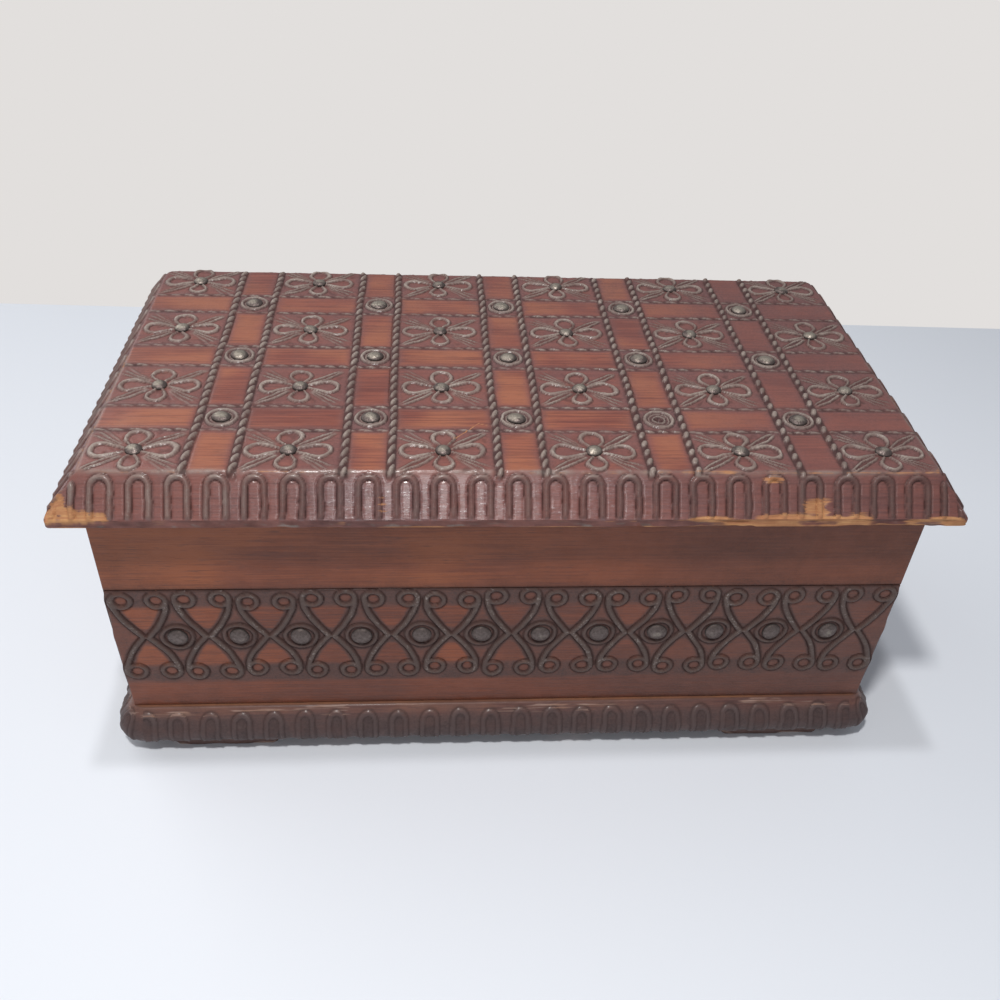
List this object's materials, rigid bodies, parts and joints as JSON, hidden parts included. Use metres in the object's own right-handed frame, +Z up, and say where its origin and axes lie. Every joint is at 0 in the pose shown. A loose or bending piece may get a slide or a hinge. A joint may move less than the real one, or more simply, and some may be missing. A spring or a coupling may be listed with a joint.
{
  "type": "carved jewelry box",
  "caption": "Low rectangular wooden box with a bevelled, back-hinged lid, carved with ropes, flowers, arches and scrolls and set with domed tacks.",
  "frame": {"origin": "on the floor, under the centre of the box's bounding box", "axes": "+X to the right along the width, +Y to the back where the hinges are, +Z up"},
  "size_m": [0.24, 0.13, 0.1056],
  "materials": {
    "lid_wood": "carved, red-brown stain, worn varnish",
    "rail_wood": "smooth, orange-brown stain, satin",
    "case_wood": "carved, red-brown stain, satin",
    "base_wood": "carved, dark brown stain, worn edges",
    "tack_metal": "aged dull bronze",
    "hinge_metal": "aged brass"
  },
  "bodies": {
    "case": {"base_board": "base_wood", "foot_front_left": "base_wood", "foot_front_right": "base_wood", "foot_back_left": "base_wood", "foot_back_right": "base_wood", "front_wall": "case_wood", "back_wall": "case_wood", "left_wall": "case_wood", "right_wall": "case_wood", "front_tacks": "tack_metal", "back_tacks": "tack_metal", "left_tacks": "tack_metal", "right_tacks": "tack_metal", "left_hinge_case_leaf": "hinge_metal", "left_hinge_pin": "hinge_metal", "left_hinge_case_screws": "hinge_metal", "right_hinge_case_leaf": "hinge_metal", "right_hinge_pin": "hinge_metal", "right_hinge_case_screws": "hinge_metal"},
    "lid": {"lid_board": "lid_wood", "lid_front_rail": "rail_wood", "lid_back_rail": "rail_wood", "lid_left_rail": "rail_wood", "lid_right_rail": "rail_wood", "flower_tacks": "tack_metal", "crossing_tacks": "tack_metal", "left_hinge_lid_leaf": "hinge_metal", "left_hinge_lid_screws": "hinge_metal", "right_hinge_lid_leaf": "hinge_metal", "right_hinge_lid_screws": "hinge_metal"}
  },
  "joints": [
    {"name": "lid", "type": "hinge", "parent": "case", "child": "lid", "pos_m": [0, 0.0558, 0.0636], "axis": [-1, 0, 0], "range_deg": [0, 100]}
  ]
}
